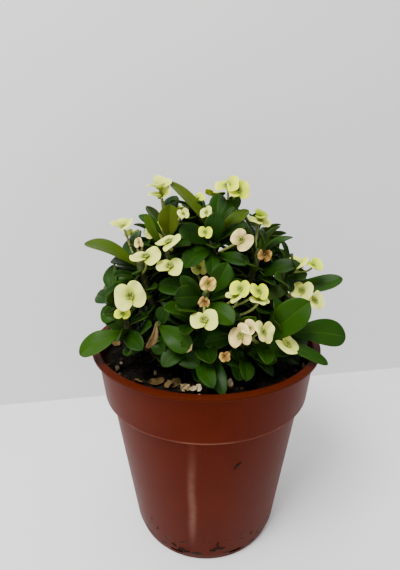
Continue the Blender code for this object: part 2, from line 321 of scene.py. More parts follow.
plastic = Finish(
    "brown_polypropylene", roughness=0.4, specular_ior_level=0.035, specular_tint=(1.0, 0.55, 0.25, 1.0)
)
cloud = plastic.place.noise(38.0, 3.0)
grain = plastic.place.noise(900.0, 2.0)
height = plastic.place.axis(2)
# A pale vertical streak on the front of the pot is a painted highlight, standing in for a light's reflection
# down the wall. It is kept to the side that faces the front.
front_side = 1.0 - plastic.place.axis(1).step(*FRONT_SIDE)
sway = plastic.place.noise(45.0, 1.0) * STREAK_SWAY
from_streak = ((plastic.place.axis(0) + STREAK_LEFT - sway) ** 2.0) ** 0.5
painted_highlight_streak = (1.0 - from_streak.step(*STREAK_EDGE)) * height.step(*STREAK_FOOT)
painted_highlight_streak = painted_highlight_streak * (1.0 - height.step(*STREAK_HEAD))
painted_highlight_streak = painted_highlight_streak * front_side * (0.45 + plastic.place.noise(260.0, 2.0) * 0.8)
scuffs = plastic.place.stretched((420.0, 420.0, 2400.0)).noise(1.0, 3.0).step(0.66, 0.74)
low_down = 1.0 - height.step(*SPLASH_HEIGHT)
specks = plastic.place.noise(300.0, 2.0, 0.4).step(0.60, 0.64) * low_down
dust = cloud.step(0.35, 0.75)
body_colour = dust.mix((0.063, 0.0056, 0.0010), (0.073, 0.0080, 0.0018))
# The lip is coloured a darker red than the rest of the one-colour pot: painted shade on its top.
with_lip_shade = height.step(*LIP_SHADE).mix(body_colour, (0.056, 0.0074, 0.0018))
scuffed = (scuffs * 0.22).mix(with_lip_shade, (0.22, 0.09, 0.055))
# A lighter line along the bottom edge of the band's step is a painted highlight, where light would catch the
# edge. The clouds make it patchy.
band_edge = height.step(*STEP_FOOT) * (1.0 - height.step(*STEP_HEAD))
with_step_highlight = (band_edge * (0.25 + cloud.step(0.45, 0.62) * 0.5)).mix(scuffed, (0.20, 0.075, 0.045))
# The painted highlight streak is mixed into the colour here.
with_painted_highlight = (painted_highlight_streak * 0.36).mix(with_step_highlight, (0.27, 0.14, 0.10))
plastic.feed("Base Color", specks.mix(with_painted_highlight, (0.010, 0.006, 0.004)))
plastic.feed("Roughness", 0.36 + cloud * 0.16 + scuffs * 0.12)
plastic.bump(cloud * 0.6 + grain * 0.12 + specks * 0.6, 0.00025)
pot.data.materials.append(plastic.material)
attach(pot, "root")
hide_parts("pot")


# ---- Soil -----------------------------------------------------------------------
# A moist, almost black mix of peat and composted bark, filled loose and settled a
# finger's breadth below the rim. Crumbs of it lie on top, with a few pale pumice grains.
SOIL_LOW, SOIL_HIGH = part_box("soil")
SOIL_TOP = RIM_TOP - 10.0 * MM
SOIL_RADIUS = SOIL_HIGH.x
SOIL_SIDES = 120
SOIL_RINGS = 34
SOIL_ROUGHNESS = 3.2 * MM
LUMP_SIZE = 12 * MM
CRUMB_SIZE = 3.5 * MM
SOIL_MOUND = 1.5 * MM
CRUMB_COUNT = 620
PUMICE_COUNT = 26
STONE_FACES = 2
ANY_TURN = (0, 6.3)


def subdivide(piece, levels, kind="CATMULL_CLARK"):
    """Make a mesh finer, rounding it unless the kind is SIMPLE."""
    finer = piece.modifiers.new("finer", "SUBSURF")
    finer.subdivision_type = kind
    finer.levels = levels
    finer.render_levels = levels


def displace(piece, group, size, amount, name):
    """Roughen a vertex group by clouds of a size."""
    clouds = bpy.data.textures.new(name, "CLOUDS")
    clouds.noise_scale = size
    clouds.noise_depth = 3
    rough = piece.modifiers.new(name, "DISPLACE")
    rough.texture = clouds
    rough.strength = amount
    rough.mid_level = 0.5
    rough.vertex_group = group
    rough.texture_coords = "LOCAL"


deselect()
bpy.ops.mesh.primitive_circle_add(
    vertices=SOIL_SIDES, radius=SOIL_RADIUS - 20 * MM, fill_type="NGON", location=(0, 0, SOIL_LOW.z)
)
soil = start_piece("potting_soil")
side = [
    (SOIL_RADIUS - 20 * MM, SOIL_LOW.z),
    (SOIL_RADIUS - 14.7 * MM, 5.0 * MM),
    (SOIL_RADIUS - 4.9 * MM, RIM_TOP - 26.3 * MM),
    (SOIL_RADIUS - 1.4 * MM, RIM_TOP - 24.7 * MM),
    (SOIL_RADIUS + 0.2 * MM, SOIL_TOP),
]
for before, after in zip(side, side[1:]):
    ring_on(before, after)
reach = side[-1][0]
for i in range(SOIL_RINGS):
    nearer = side[-1][0] * (1 - (i + 1) / (SOIL_RINGS + 1))
    ring_on((reach, 0), (nearer, SOIL_MOUND / SOIL_RINGS))
    reach = nearer
bpy.ops.mesh.merge(type="CENTER")
finish_edit(soil)
top = soil.vertex_groups.new(name="top")
for vertex in soil.data.vertices:
    inside = side[-1][0] - vertex.co.xy.length
    if vertex.co.z > SOIL_TOP - 0.1 * MM:
        top.add([vertex.index], min(1.0, 0.25 + inside / (4 * MM)), "REPLACE")
subdivide(soil, 1, "SIMPLE")
displace(soil, "top", LUMP_SIZE, SOIL_ROUGHNESS, "lumps")
displace(soil, "top", CRUMB_SIZE, 0.5 * SOIL_ROUGHNESS, "crumbs")
apply_modifiers(soil)
bpy.ops.object.shade_smooth()

peat = Finish("moist_peat", roughness=0.9, specular_ior_level=0.06)
fibre = peat.place.noise(700.0, 5.0, 0.65)
clods = peat.place.noise(160.0, 3.0)
wet = clods.step(0.3, 0.7).mix((0.0018, 0.0013, 0.0010), (0.011, 0.0075, 0.0048))
bark_bits = fibre.step(0.62, 0.70)
peat.feed("Base Color", (bark_bits * 0.6).mix(wet, (0.040, 0.022, 0.011)))
peat.feed("Roughness", 0.95 - clods * 0.3)
peat.bump(fibre + clods * 0.8, 0.0009)
soil.data.materials.append(peat.material)
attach(soil, "root")
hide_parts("soil")


def soil_height(x, y):
    """The height of the soil's surface at a place."""
    hit, spot, normal, face = soil.ray_cast(Vector((x, y, RIM_TOP + 0.02)), Vector((0, 0, -1)))
    return spot.z if hit else SOIL_TOP


def mark(mesh, name, values):
    """Keep a number on each vertex of a mesh, for its material."""
    layer = mesh.attributes.new(name, "FLOAT", "POINT")
    layer.data.foreach_set("value", np.asarray(values, dtype=np.float32))


def join(name, meshes, materials):
    """One piece from several meshes, each with its own marks."""
    parts = [put(f"{name}_{number}", mesh) for number, mesh in enumerate(meshes)]
    choose(*parts)
    if len(parts) > 1:
        bpy.ops.object.join()
    piece = bpy.context.object
    piece.name = name
    piece.data.name = name
    for material in materials:
        if material.name not in piece.data.materials:
            piece.data.materials.append(material)
    return piece


def lump(name, subdivisions):
    """A rough little stone, one unit across."""
    deselect()
    bpy.ops.mesh.primitive_ico_sphere_add(subdivisions=subdivisions, radius=0.5)
    stone = start_piece(name)
    bpy.ops.transform.vertex_random(offset=0.14, seed=7)
    finish_edit(stone)
    return stone


def scatter(shape, count, reach, sizes, tones, seed):
    """Copies of a shape lying on the soil, turned and squashed each its own way."""
    draw = random.Random(seed)
    meshes = []
    while len(meshes) < count:
        turn = draw.uniform(0, 2 * math.pi)
        far = reach * math.sqrt(draw.random())
        x, y = far * math.cos(turn), far * math.sin(turn)
        size = draw.uniform(*sizes) * MM
        mesh = shape.data.copy()
        spin = Matrix.Rotation(draw.uniform(*ANY_TURN), 4, "Z")
        spin = spin @ Matrix.Rotation(draw.uniform(-0.6, 0.6), 4, "X")
        squash = Matrix.Diagonal((size, size * draw.uniform(0.6, 1.0), size * draw.uniform(0.4, 0.8), 1))
        lift = Vector((x, y, soil_height(x, y) + 0.15 * size))
        mesh.transform(Matrix.Translation(lift) @ spin @ squash)
        mark(mesh, "tone", [draw.uniform(*tones)] * len(mesh.vertices))
        meshes.append(mesh)
    return meshes


crumb_shape = lump("crumb", 1)
stone_shape = lump("stone", STONE_FACES)
crumb_finish = Finish("bark_crumb", roughness=0.9, specular_ior_level=0.15)
crumb_tone = crumb_finish.attribute("tone")
crumb_dark = crumb_tone.ramp(
    (0.0, (0.002, 0.0015, 0.001)),
    (0.7, (0.012, 0.007, 0.004)),
    (0.93, (0.045, 0.024, 0.011)),
    (1.0, (0.16, 0.10, 0.05)),
)
crumb_finish.cloud(1500.0, crumb_dark, (0.010, 0.007, 0.004))
crumb_finish.bump(crumb_finish.place.noise(1800.0), 0.0005)
crumbs = join(
    "soil_crumbs",
    scatter(crumb_shape, CRUMB_COUNT, SOIL_RADIUS - 2 * MM, (0.9, 3.2), (0.0, 1.0), 3),
    [crumb_finish.material],
)
bpy.ops.object.shade_smooth()

pumice_finish = Finish("pumice", roughness=0.95)
pumice_tone = pumice_finish.attribute("tone")
pumice_colour = pumice_tone.ramp(
    (0.0, (0.16, 0.10, 0.045)),
    (0.6, (0.30, 0.22, 0.11)),
    (1.0, (0.60, 0.57, 0.48)),
)
pores = pumice_finish.place.noise(1300.0, 3.0)
pumice_finish.feed("Base Color", pores.step(0.35, 0.6).mix((0.09, 0.06, 0.03), pumice_colour))
pumice_finish.bump(pores, 0.0006)
pumice = join(
    "pumice_grains",
    scatter(stone_shape, PUMICE_COUNT, SOIL_RADIUS - 3 * MM, (1.2, 3.0), (0.0, 1.0), 11),
    [pumice_finish.material],
)
bpy.ops.object.shade_smooth()
for piece in (crumbs, pumice):
    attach(piece, "root")
bpy.data.objects.remove(crumb_shape)


# ---- Stems ----------------------------------------------------------------------
# The stems are cuttings' own wood, rooted in the soil: ridged grey-brown bark with leaf
# scars, green-brown near the tips, and pairs of slim hard thorns left by the stipules.
STEM_SIDES = 8
THORN_LENGTHS = (3.0, 6.5)
THORN_RADIUS = 0.32 * MM
THORN_STEP = 3.4 * MM
THORN_TURN = 2.4
KNOT_SIZE = 2.2 * MM
KNOT_DEPTH = 1.1 * MM


def nodes_called(kind):
    """The CAD nodes whose names start with a word, in order."""
    return [name for name in sorted(frame["nodes"]) if name.startswith(kind)]


def node_points(name):
    """The separate corners of a CAD node."""
    points = np.array([vertex.co for vertex in frame["nodes"][name].data.vertices])
    return np.unique(points.round(6), axis=0)


def stem_route(name):
    """Centres and radii up a CAD stem, from its rings of corners."""
    points = node_points(name)
    rings = points[np.argsort(points[:, 2])].reshape(-1, STEM_SIDES, 3)
    centres = rings.mean(axis=1)
    radii = np.linalg.norm(rings - centres[:, None], axis=2).mean(axis=1)
    return [Vector(centre) for centre in centres], list(radii)


def tube(name, points, radii, sides=3):
    """A smooth round tube with closed ends, as a mesh."""
    curve = bpy.data.curves.new(name, "CURVE")
    curve.dimensions = "3D"
    curve.bevel_depth = 1.0
    curve.bevel_resolution = sides
    curve.use_fill_caps = True
    curve.resolution_u = 5
    spline = curve.splines.new("NURBS")
    spline.points.add(len(points) - 1)
    spline.use_endpoint_u = True
    spline.order_u = 4
    for spot, point, radius in zip(spline.points, points, radii):
        spot.co = (*point, 1.0)
        spot.radius = radius
    piece = put(name, curve)
    choose(piece)
    bpy.ops.object.convert(target="MESH")
    piece = bpy.context.object
    bpy.ops.object.mode_set(mode="EDIT")
    bpy.ops.mesh.select_all(action="SELECT")
    bpy.ops.mesh.remove_doubles(threshold=0.00001)
    bpy.ops.mesh.normals_make_consistent(inside=False)
    bpy.ops.object.mode_set(mode="OBJECT")
    return piece


bark = Finish("thorny_bark", roughness=0.85, specular_ior_level=0.2)
ridges = bark.place.stretched((1.0, 1.0, 0.35)).noise(900.0, 4.0)
patches = bark.place.noise(140.0, 3.0)
young = bark.attribute("young")
old_bark = patches.mix((0.050, 0.030, 0.017), (0.115, 0.080, 0.050))
green_bark = young.step(0.55, 1.0).mix(old_bark, (0.060, 0.085, 0.020))
bark.feed("Base Color", (ridges.step(0.35, 0.65) * 0.6).mix(green_bark, (0.022, 0.014, 0.008)))
bark.bump(ridges, 0.0007)

thorn_wood = Finish("thorn", roughness=0.6)
thorn_wood.cloud(500.0, (0.055, 0.035, 0.022), (0.16, 0.12, 0.085))

deselect()
bpy.ops.mesh.primitive_cone_add(vertices=6, radius1=1.0, radius2=0.08, depth=1.0, location=(0, 0, 0.5))
thorn_shape = start_piece("thorn_shape")
bpy.ops.mesh.subdivide(number_cuts=2)
pick(lambda co: co.z > 0.6)
bpy.ops.transform.translate(value=(0.5, 0, 0))
finish_edit(thorn_shape)

stem_lines = {}


def bark_stem(name, points, radii, replaces=None):
    """A knotted stem along a line, with its thorns."""
    stem = tube(name + "_bark", points, radii)
    low, high = points[0].z, points[-1].z
    mark(stem.data, "young", [(vertex.co.z - low) / (high - low) for vertex in stem.data.vertices])
    stem.vertex_groups.new(name="all").add(range(len(stem.data.vertices)), 1.0, "REPLACE")
    displace(stem, "all", KNOT_SIZE, KNOT_DEPTH, name + "_knots")
    apply_modifiers(stem)
    stem.data.materials.append(bark.material)
    bpy.ops.object.shade_smooth()
    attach(stem, "root")
    if replaces:
        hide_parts(replaces)

    draw = random.Random(name)
    thorns = []
    turn = draw.uniform(*ANY_TURN)
    for start, end, radius in zip(points, points[1:], radii):
        if end.z < SOIL_TOP + 2 * MM:
            continue
        axis = (end - start).normalized()
        for step in range(int((end - start).length / THORN_STEP)):
            turn += THORN_TURN
            spot = start + axis * THORN_STEP * (step + draw.random())
            side = Matrix.Rotation(turn, 3, axis) @ axis.orthogonal().normalized()
            point_to = (side + axis * draw.uniform(0.1, 0.5)).normalized()
            length = draw.uniform(*THORN_LENGTHS) * MM
            mesh = thorn_shape.data.copy()
            size = Matrix.Diagonal((THORN_RADIUS, THORN_RADIUS, length, 1))
            aim = point_to.to_track_quat("Z", "X").to_matrix().to_4x4()
            mesh.transform(Matrix.Translation(spot + side * radius * 0.7) @ aim @ size)
            thorns.append(mesh)
    spines = join("thorns_" + name, thorns, [thorn_wood.material])
    bpy.ops.object.shade_smooth()
    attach(spines, "root")


for name in nodes_called("stem_"):
    points, radii = stem_route(name)
    stem_lines[name[5:]] = (points, radii)
    bark_stem(name, points, radii, replaces=name)


def over_soil(point):
    """A place given in millimetres from the middle of the soil's top."""
    return Vector(point) * MM + Vector((0, 0, SOIL_TOP))


def bow(start, bend, end, steps):
    """A line that leaves its start towards a bend and comes round to its end."""
    shares = [i / steps for i in range(steps + 1)]
    points = [start * (1 - t) ** 2 + bend * 2 * t * (1 - t) + end * t**2 for t in shares]
    return points, shares


# Side shoots fork off the stems inside the crown. Each has its parent, how far up it
# starts, and where it ends, in millimetres from the middle of the soil.
SIDE_SHOOTS = {
    "shoot_middle": ("centre", 0.45, (0, 9, 74)),
    "shoot_right": ("right_top", 0.45, (26, 11, 62)),
    "shoot_left": ("left_top", 0.45, (-24, 9, 64)),
    "shoot_back": ("left_top", 0.55, (-9, 4, 72)),
    "shoot_far_left": ("back_left", 0.40, (-41, 14, 44)),
    "shoot_far_right": ("back_right", 0.40, (44, 13, 42)),
    "shoot_front_left": ("left_low", 0.50, (-22, -31, 31)),
    "shoot_front_right": ("right_low", 0.50, (13, -30, 24)),
}
SHOOT_RADIUS = 1.9 * MM
for name, (parent, share, end) in SIDE_SHOOTS.items():
    points, radii = stem_lines[parent]
    start = points[round(share * (len(points) - 1))]
    end = over_soil(end)
    bend = start.lerp(end, 0.5) + (Vector((end.x, end.y, start.z)) - start) * 0.25
    points, shares = bow(start, bend, end, 7)
    radii = [SHOOT_RADIUS * (1.1 - 0.4 * t) for t in shares]
    stem_lines[name] = (points, radii)
    bark_stem(name, points, radii)
bpy.data.objects.remove(thorn_shape)


# ---- Leaves ---------------------------------------------------------------------
# Thick, smooth, spoon-shaped leaves on very short stalks, crowded at the stem tips. Each
# is folded a little along its pale midrib, arches over, and ends in a tiny point.
LEAF_LENGTHWAYS = 14
LEAF_CROSSWAYS = 6
LEAF_THICKNESS = 0.55 * MM
LEAF_STALK = 0.035
LEAF_TO_STEM = 1.2 * MM
LEAF_ARCH = 0.10
LEAF_SLIMMING = 0.90

leaf_finish = Finish("leaf_blade", roughness=0.36, specular_ior_level=0.09)
run = leaf_finish.uv.axis(0)
across = leaf_finish.uv.axis(1) - 0.5
tone = leaf_finish.attribute("tone")
from_rib = (across * across) ** 0.5
mottle = leaf_finish.place.noise(120.0, 4.0)
veins = run.node("Math", {"operation": "SINE"}, {0: run * 90.0 - from_rib * 60.0})
# A leaf's tone, from dark green to pale olive, is partly its own colour and partly painted light.
blade = tone.ramp(
    (0.0, (0.0040, 0.0180, 0.0007)),
    (0.45, (0.0085, 0.0370, 0.0008)),
    (0.75, (0.0200, 0.0630, 0.0010)),
    (1.0, (0.0620, 0.0880, 0.0035)),
)
mottled = (mottle.step(0.35, 0.75) * 0.3).mix(blade, (0.0220, 0.0650, 0.0012))
rib = 1.0 - from_rib.step(0.010, 0.045)
ribbed = (rib * 0.20).mix(mottled, (0.060, 0.120, 0.006))
edge = from_rib.step(0.455, 0.495)
edged = (edge * 0.25).mix(ribbed, (0.080, 0.120, 0.010))
burnt_tip = leaf_finish.attribute("burnt") * (run + mottle * 0.1).step(0.90, 0.96)
leaf_finish.feed("Base Color", burnt_tip.mix(edged, (0.42, 0.30, 0.13)))
leaf_finish.feed("Roughness", 0.30 + mottle * 0.22)
leaf_finish.bump((1.0 - rib) * 0.6 + mottle * 0.5 + veins * 0.05, 0.0003)

under_finish = Finish("leaf_underside", roughness=0.6, specular_ior_level=0.16)
under_tone = under_finish.attribute("tone")
pale = under_tone.ramp((0.0, (0.016, 0.046, 0.003)), (1.0, (0.065, 0.095, 0.009)))
under_finish.feed("Base Color", (under_finish.place.noise(160.0) * 0.4).mix(pale, (0.040, 0.080, 0.010)))
under_finish.bump(under_finish.place.noise(500.0), 0.0002)


def blade_width(run):
    """A leaf's width over its widest: a thin stalk, then a spoon with a round end."""
    return max(LEAF_STALK, 1.74 * run**0.85 * max(0.0, 1 - run**2.6) ** 0.58)


deselect()
bpy.ops.mesh.primitive_grid_add(
    x_subdivisions=LEAF_LENGTHWAYS, y_subdivisions=LEAF_CROSSWAYS, size=1.0, location=(0.5, 0, 0)
)
leaf_shape = start_piece("leaf_shape")
for i in reversed(range(LEAF_LENGTHWAYS + 1)):
    even = i / LEAF_LENGTHWAYS
    place = 1 - (1 - even) ** 1.5
    pick(lambda co: abs(co.x + 0.5 - even) < 0.01)
    bpy.ops.transform.resize(value=(1, blade_width(place), 1))
    bpy.ops.transform.translate(value=(place - even, 0, 0))
pick(lambda co: abs(co.y) < 0.001)
bpy.ops.transform.translate(value=(0, 0, -0.035))
bpy.ops.object.mode_set(mode="OBJECT")
bpy.ops.object.transform_apply(location=True, rotation=True, scale=True)


def bent_leaf(start, tip, face, width, draw, arch=LEAF_ARCH, tone=None):
    """A copy of the leaf from its stalk to its tip, arched, twisted and waved."""
    mesh = leaf_shape.data.copy()
    count = len(mesh.vertices)
    flat = np.empty(count * 3, dtype=np.float32)
    mesh.vertices.foreach_get("co", flat)
    run, side, lift = flat.reshape(-1, 3).T
    length = (tip - start).length
    along = (tip - start).normalized()
    across = Vector(face).cross(along).normalized()
    upper = along.cross(across)
    twist = draw.uniform(-0.35, 0.35) * run
    wave = draw.uniform(0.01, 0.05) * np.sin(run * draw.uniform(7, 11) + draw.uniform(*ANY_TURN)) * side * 2
    fold = draw.uniform(0.10, 0.34) * np.abs(side)
    nod = draw.uniform(-0.02, 0.10) * run**3
    rise = arch * length * 4 * run * (1 - run) - nod * length
    rise = rise + width * (lift + fold + wave + side * np.sin(twist))
    spread = width * side * np.cos(twist)
    places = (
        np.array(start)[None]
        + np.outer(run * length, along)
        + np.outer(spread, across)
        + np.outer(rise, upper)
    )
    mesh.vertices.foreach_set("co", places.astype(np.float32).ravel())
    shade = draw.uniform(0.1, 0.75) if tone is None else tone
    mark(mesh, "tone", [shade] * count)
    return mesh


def thicken_leaves(piece, smoothed=True, thickness=LEAF_THICKNESS):
    """Give blades their thickness, with their own underside, and smooth them."""
    piece.data.materials.clear()
    piece.data.materials.append(leaf_finish.material)
    piece.data.materials.append(under_finish.material)
    solid = piece.modifiers.new("thickness", "SOLIDIFY")
    solid.thickness = thickness
    solid.offset = -1.0
    solid.material_offset = 1
    solid.material_offset_rim = 0
    if smoothed:
        subdivide(piece, 1)
    apply_modifiers(piece)
    bpy.ops.object.shade_smooth()


def leaf_frame(name):
    """Stalk end, tip, upper side and width of a CAD leaf, from its corners."""
    points = node_points(name)
    middle = points.mean(axis=0)
    along = np.linalg.svd(points - middle)[2][0]
    reach = (points - middle) @ along
    ends = reach.min(), reach.max()
    span = ends[1] - ends[0]
    near = [points[np.abs(reach - end) < 0.30 * span] for end in ends]
    spreads = [np.linalg.norm(group - group.mean(axis=0), axis=1).max() for group in near]
    if spreads[0] > spreads[1]:
        along, reach, ends = -along, -reach, (-ends[1], -ends[0])
    start = points[reach < ends[0] + 0.05 * span].mean(axis=0)
    tip = points[reach > ends[1] - 0.05 * span].mean(axis=0)
    chord = (tip - start) / np.linalg.norm(tip - start)
    bulge = middle - start
    bulge = bulge - chord * (bulge @ chord)
    upper = bulge / np.linalg.norm(bulge)
    side = (points - middle) @ np.cross(chord, upper)
    return Vector(start), Vector(tip), Vector(upper), side.max() - side.min()


# What sets single leaves apart: one that bends back and starts lower down its stem, in
# millimetres from the middle of the soil, and how pale some of them are. That paleness is
# partly the leaves' own colour and partly painted light on the leaves that catch it.
LEAF_ARCHES = {"leaf_right_1": -0.10}
LEAF_STARTS = {"leaf_right_1": (38.5, -7.5, 40.0)}
LEAF_TONES = {
    "leaf_centre_1": 0.95,
    "leaf_centre_2": 0.5,
    "leaf_centre_3": 0.35,
    "leaf_centre_4": 0.9,
    "leaf_left_top_1": 0.6,
    "leaf_left_top_2": 1.0,
    "leaf_left_1": 0.9,
    "leaf_left_low_1": 0.75,
    "leaf_right_low_1": 0.62,
    "leaf_right_low_2": 0.45,
    "leaf_front_3": 0.4,
}
# No inner leaf grows right before these.
SHOWN_LEAVES = ("leaf_left_1", "leaf_left_top_1", "leaf_left_top_2", "leaf_centre_1", "leaf_centre_2")
FRONT = Vector((0, -0.96, 0.28))
leaf_middles = []
kept_clear = []
for name in nodes_called("leaf_"):
    draw = random.Random(name)
    start, tip, upper, width = leaf_frame(name)
    if name in LEAF_STARTS:
        start = over_soil(LEAF_STARTS[name])
    start -= (tip - start).normalized() * LEAF_TO_STEM
    leaf_middles.append(start.lerp(tip, 0.6))
    if name in SHOWN_LEAVES:
        kept_clear.extend((start.lerp(tip, share), FRONT, 0.45 * width) for share in (0.25, 0.5, 0.75))
    arch = LEAF_ARCHES.get(name, LEAF_ARCH)
    tone = LEAF_TONES.get(name)
    mesh = bent_leaf(start, tip, upper, width * LEAF_SLIMMING, draw, arch, tone)
    leaf = join(name + "_blade", [mesh], [])
    thicken_leaves(leaf)
    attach(leaf, "root")
    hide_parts(name)


# ---- More leaves ----------------------------------------------------------------
# Between the larger leaves the crown is full of others on the same short stalks. Those
# in this table are seen from the front, each with its tip, its stalk end, its width and
# how pale it is, in millimetres from the middle of the soil. How pale each is, is partly
# its own colour and partly painted light: paler for leaves in the light, darker in shade.
SEEN_LEAVES = [
    ((-29, -38, 21), (-41, -26, 23), 9, 0.3),
    ((-55, -12, 38), (-42, -18, 38), 9, 0.4),
    ((-51, -8, 42), (-41, -16, 38), 6, 0.9),
    ((-29, -11, 77), (-26, -14, 61), 6, 0.85),
    ((-41, 0, 63), (-32, -6, 56), 8, 0.4),
    ((16, 0, 85), (9, -4, 76), 8, 0.5),
    ((2, -28, 53), (1, -20, 64), 8, 0.4),
    ((19, -22, 57), (8, -18, 56), 8, 0.4),
    ((35, 4, 58), (39, -2, 52), 4, 0.2),
    ((39, 6, 62), (41, 0, 51), 4, 0.2),
    ((41, -14, 40), (37, -10, 51), 6, 0.2),
    ((50, -20, 15), (39, -24, 25), 10, 0.35),
    ((-23, -22, 47), (-11, -26, 44), 11, 0.45),
    ((-7, -42, 23), (-21, -32, 31), 12, 0.55),
    ((-20, -36, 18), (-24, -30, 24), 9, 0.3),
    ((21, -36, 35), (20, -28, 41), 9, 0.8),
    ((-1, -38, 24), (10, -30, 22), 9, 0.4),
    ((-3, -40, 14), (-16, -30, 16), 11, 0.3),
    ((2, -52, 11), (-3, -40, 8), 9, 0.4),
    ((32, -34, 13), (17, -28, 12), 11, 0.6),
    ((39, -30, 16), (21, -26, 18), 9, 0.3),
    ((46, -24, 7), (34, -24, 11), 8, 0.1),
    ((-42, -20, 12), (-36, -24, 7), 8, 0.3),
    ((17, -46, 10), (13, -38, 7), 8, 0.2),
    ((30, -38, 9), (24, -30, 9), 8, 0.1),
    ((-19, -30, 38), (-18, -28, 28), 9, 0.1),
    ((14, -34, 13), (9, -28, 17), 8, 0.2),
    ((16, -9, 69), (3, -5, 60), 10, 0.25),
    ((5, 3, 73), (13, 2, 58), 10, 0.1),
    ((-50, -19, 33), (-38, -21, 20), 9, 0.2),
    ((50, -8, 48), (41, -6, 45), 8, 0.6),
    ((41, -1, 38), (36, -5, 26), 9, 0.1),
]
BURNT_LEAF = 13  # the row of the table whose leaf has a dried tip


def nearest_on_stems(point, below):
    """The nearest place on any stem that is lower than a height."""
    best = None
    for points, radii in stem_lines.values():
        for lower, upper in zip(points, points[1:]):
            for i in range(8):
                spot = lower.lerp(upper, i / 8)
                if SOIL_TOP + 2 * MM < spot.z < below:
                    if best is None or (spot - point).length < (best - point).length:
                        best = spot
    return best


def outward_face(spot, draw):
    """An upper side that looks up and out from the middle of the plant."""
    out = Vector((spot.x, spot.y, 0)) / (60 * MM)
    return (out * 0.9 + Vector((draw.uniform(-0.3, 0.3), draw.uniform(-0.3, 0.3), 0.8))).normalized()


seen = []
for number, (tip, base, width, tone) in enumerate(SEEN_LEAVES):
    draw = random.Random(number)
    tip, base = over_soil(tip), over_soil(base)
    start = nearest_on_stems(base, tip.z + 6 * MM)
    start = base.lerp(start, 0.75)
    face = outward_face(tip, draw) + Vector((0, -0.5, 0))
    leaf_middles.append(start.lerp(tip, 0.6))
    seen.append(bent_leaf(start, tip, face, 0.92 * width * MM, draw, tone=tone))
    mark(seen[-1], "burnt", [number == BURNT_LEAF] * len(seen[-1].vertices))
seen_leaves = join("leaves_seen_in_front", seen, [])
thicken_leaves(seen_leaves)
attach(seen_leaves, "root")


# ---- Flower heads ---------------------------------------------------------------
# What look like petals are two kidney-shaped bracts, soft and papery, that overlap round
# a small green cup with five nectar glands. Each head stands on its own thin stalk.
BRACT_SIDES = 22
BRACT_RINGS = [(0.93, 0.02), (0.80, 0.06), (0.60, 0.14), (0.38, 0.22), (0.18, 0.30)]
BRACT_THICKNESS = 0.32 * MM
BRACT_DISH = 0.22
CUP_RADIUS = 1.05 * MM
STALK_RADIUS = 0.55 * MM

bract_finish = Finish(
    "papery_bract",
    roughness=0.55,
    specular_ior_level=0.15,
    subsurface_weight=0.05,
    subsurface_radius=(0.0012, 0.0010, 0.0005),
)
reach = bract_finish.attribute("reach")
lime = bract_finish.attribute("lime")
blush = bract_finish.attribute("blush")
faded = bract_finish.attribute("faded")
soft = bract_finish.place.noise(260.0, 3.0)
# Each bract's colour darkens and greens towards its base. That is partly the bract's own greener base and
# partly painted shade in the throat of the cup.
cream = (reach + soft * 0.12).ramp(
    (0.12, (0.10, 0.13, 0.005)),
    (0.28, (0.40, 0.47, 0.035)),
    (0.52, (0.68, 0.74, 0.13)),
    (1.0, (0.82, 0.85, 0.24)),
)
green = (reach + soft * 0.12).ramp(
    (0.12, (0.10, 0.16, 0.003)),
    (0.36, (0.38, 0.50, 0.002)),
    (0.85, (0.80, 0.86, 0.008)),
    (1.0, (0.88, 0.92, 0.04)),
)
pink = (reach + soft * 0.2).ramp(
    (0.14, (0.12, 0.08, 0.015)),
    (0.36, (0.52, 0.36, 0.13)),
    (0.8, (0.84, 0.62, 0.25)),
    (1.0, (0.88, 0.74, 0.30)),
)
dry = (reach + soft * 0.4).ramp(
    (0.2, (0.05, 0.02, 0.007)),
    (0.5, (0.30, 0.15, 0.035)),
    (1.0, (0.80, 0.58, 0.15)),
)
bract_finish.feed("Base Color", faded.mix(blush.mix(lime.mix(cream, green), pink), dry))
bract_finish.feed("Roughness", 0.45 + soft * 0.25)
bract_finish.bump(soft + bract_finish.place.noise(900.0) * 0.3, 0.0005)

cup_finish = Finish("flower_cup", roughness=0.4)
cup_finish.cloud(900.0, (0.09, 0.15, 0.01), (0.30, 0.34, 0.03))
stalk_finish = Finish("flower_stalk", roughness=0.5)
stalk_finish.cloud(300.0, (0.14, 0.20, 0.03), (0.30, 0.30, 0.08))

deselect()
bpy.ops.mesh.primitive_circle_add(vertices=BRACT_SIDES, radius=1.0, fill_type="NOTHING")
bract_shape = start_piece("bract_shape")
size_now = 1.0
for size, shift in BRACT_RINGS:
    bpy.ops.mesh.extrude_region_move(TRANSFORM_OT_translate={"value": (-shift, 0, 0)})
    bpy.ops.transform.resize(value=(size / size_now, size / size_now, 1))
    size_now = size
bpy.ops.mesh.merge(type="CENTER")
bpy.ops.mesh.select_all(action="SELECT")
bpy.ops.mesh.normals_make_consistent(inside=False)
bpy.ops.object.mode_set(mode="OBJECT")
midline = [vertex.co.copy() for vertex in bract_shape.data.vertices if abs(vertex.co.y) < 1e-4]
bract_pole = min((co for co in midline if co.xy.length < 0.95), key=lambda co: co.x)
deselect()
bpy.ops.mesh.primitive_cylinder_add(vertices=10, radius=1.0, depth=2.0, end_fill_type="NGON")
cup_shape = start_piece("cup_shape")
pick(lambda co: co.z < 0)
bpy.ops.transform.resize(value=(0.45, 0.45, 1))
pick(lambda co: co.z > 0)
bpy.ops.mesh.inset(thickness=0.35)
bpy.ops.transform.translate(value=(0, 0, -0.7))
finish_edit(cup_shape)
deselect()
bpy.ops.mesh.primitive_uv_sphere_add(segments=8, ring_count=5, radius=1.0)
gland_shape = start_piece("gland_shape")
bpy.ops.transform.resize(value=(0.9, 1.25, 0.5))
finish_edit(gland_shape)


heads = []


